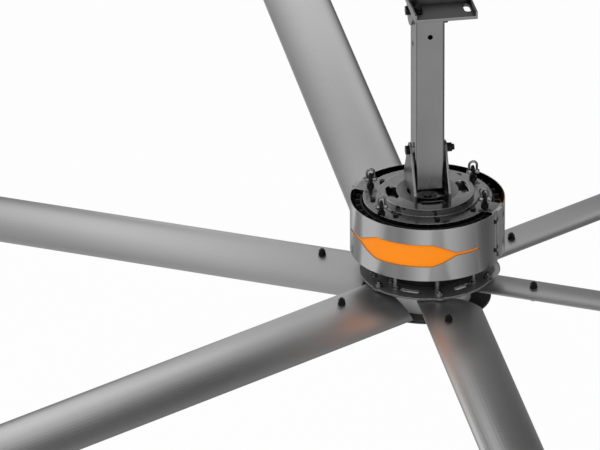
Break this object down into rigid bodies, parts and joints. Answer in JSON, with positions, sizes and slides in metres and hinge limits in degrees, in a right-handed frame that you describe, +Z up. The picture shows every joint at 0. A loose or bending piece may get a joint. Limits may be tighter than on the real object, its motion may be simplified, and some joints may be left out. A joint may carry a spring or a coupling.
{
  "type": "industrial ceiling fan",
  "caption": "Large direct-drive ceiling fan with hollow aluminium blades, a shrouded hub motor and a square drop tube on bolted clevises.",
  "frame": {"origin": "middle of the ceiling plate's upper face, on the fan's axis", "axes": "+Z up along the fan's axis, +X to the right across the drop tube's bolts, -Y towards the front of the shroud"},
  "size_m": [3.8658, 4.301, 1.064],
  "materials": {
    "bracket_grey": "satin grey powder coat",
    "tube_grey": "satin grey powder coat",
    "plate_grey": "satin grey powder coat",
    "black_steel": "black oxide, slightly oily",
    "zinc_steel": "bright zinc plate",
    "shackle_steel": "bright zinc plate",
    "shroud_steel": "brushed along its length",
    "strap_steel": "brushed upright",
    "accent_orange": "gloss enamel",
    "blade_aluminium": "satin anodised extrusion",
    "cap_black": "matt moulded",
    "rotor_black": "matt black paint",
    "ring_dark": "satin dark grey paint",
    "hub_light": "turned aluminium",
    "cover_dark": "satin dark grey paint",
    "stud_steel": "dark zinc plate",
    "shaft_steel": "turned steel",
    "core_steel": "varnished laminations",
    "copper_wire": "enamelled copper",
    "magnet_grey": "nickel-plated magnets"
  },
  "bodies": {
    "bracket": {"ceiling_plate": "bracket_grey", "riser_front": "bracket_grey", "riser_rear": "bracket_grey", "hanger_channel": "bracket_grey", "ear_left": "bracket_grey", "ear_right": "bracket_grey", "upper_bolt": "black_steel", "upper_nut": "black_steel", "upper_washers": "zinc_steel"},
    "tube": {"drop_tube": "tube_grey"},
    "motor": {"clevis_left": "tube_grey", "clevis_right": "tube_grey", "lower_bolt": "black_steel", "lower_nut": "black_steel", "lower_washers": "zinc_steel", "base_plate": "plate_grey", "base_lock_screws": "black_steel", "mount_ring": "plate_grey", "mount_ring_screws": "zinc_steel", "motor_top_plate": "plate_grey", "top_plate_bolts": "black_steel", "eyebolts": "black_steel", "strap_right": "strap_steel", "strap_left": "strap_steel", "shroud_front": "shroud_steel", "shroud_back": "shroud_steel", "accent_front": "accent_orange", "accent_back": "accent_orange", "shroud_screws": "black_steel", "stator_shaft": "shaft_steel", "stator_core": "core_steel", "stator_windings": "copper_wire", "shaft_lock_nut": "stud_steel"},
    "shackle_body_1": {"shackle_1": "shackle_steel"},
    "shackle_body_2": {"shackle_2": "shackle_steel"},
    "shackle_body_3": {"shackle_3": "shackle_steel"},
    "shackle_body_4": {"shackle_4": "shackle_steel"},
    "fan": {"rotor_drum": "rotor_black", "end_shield": "rotor_black", "end_shield_screws": "zinc_steel", "rotor_magnets": "magnet_grey", "upper_bearing": "shaft_steel", "lower_bearing": "shaft_steel", "standoff_studs": "stud_steel", "ring_plate": "ring_dark", "hub_cylinder": "hub_light", "hub_screws": "black_steel", "bottom_cover": "cover_dark", "cover_screws": "black_steel", "ring_bolts": "stud_steel", "blade_struts": "bracket_grey", "blade_1": "blade_aluminium", "blade_2": "blade_aluminium", "blade_3": "blade_aluminium", "blade_4": "blade_aluminium", "blade_5": "blade_aluminium", "blade_6": "blade_aluminium", "blade_bolts": "black_steel", "blade_end_caps": "cap_black"}
  },
  "joints": [
    {"name": "upper_pivot", "type": "hinge", "parent": "bracket", "child": "tube", "pos_m": [0, 0, -0.208], "axis": [1, 0, 0], "range_deg": [-12, 12]},
    {"name": "lower_pivot", "type": "hinge", "parent": "tube", "child": "motor", "pos_m": [0, 0, -0.618], "axis": [1, 0, 0], "range_deg": [-12, 12]},
    {"name": "fan_spin", "type": "hinge", "parent": "motor", "child": "fan", "pos_m": [0, 0, -0.76], "axis": [0, 0, 1], "continuous": true},
    {"name": "shackle_swing_1", "type": "hinge", "parent": "motor", "child": "shackle_body_1", "pos_m": [0.14069, 0.08621, -0.739], "axis": [1, 0, 0], "range_deg": [-90, 90]},
    {"name": "shackle_swing_2", "type": "hinge", "parent": "motor", "child": "shackle_body_2", "pos_m": [-0.14069, 0.08621, -0.739], "axis": [1, 0, 0], "range_deg": [-90, 90]},
    {"name": "shackle_swing_3", "type": "hinge", "parent": "motor", "child": "shackle_body_3", "pos_m": [-0.14069, -0.08621, -0.739], "axis": [1, 0, 0], "range_deg": [-90, 90]},
    {"name": "shackle_swing_4", "type": "hinge", "parent": "motor", "child": "shackle_body_4", "pos_m": [0.14069, -0.08621, -0.739], "axis": [1, 0, 0], "range_deg": [-90, 90]}
  ]
}
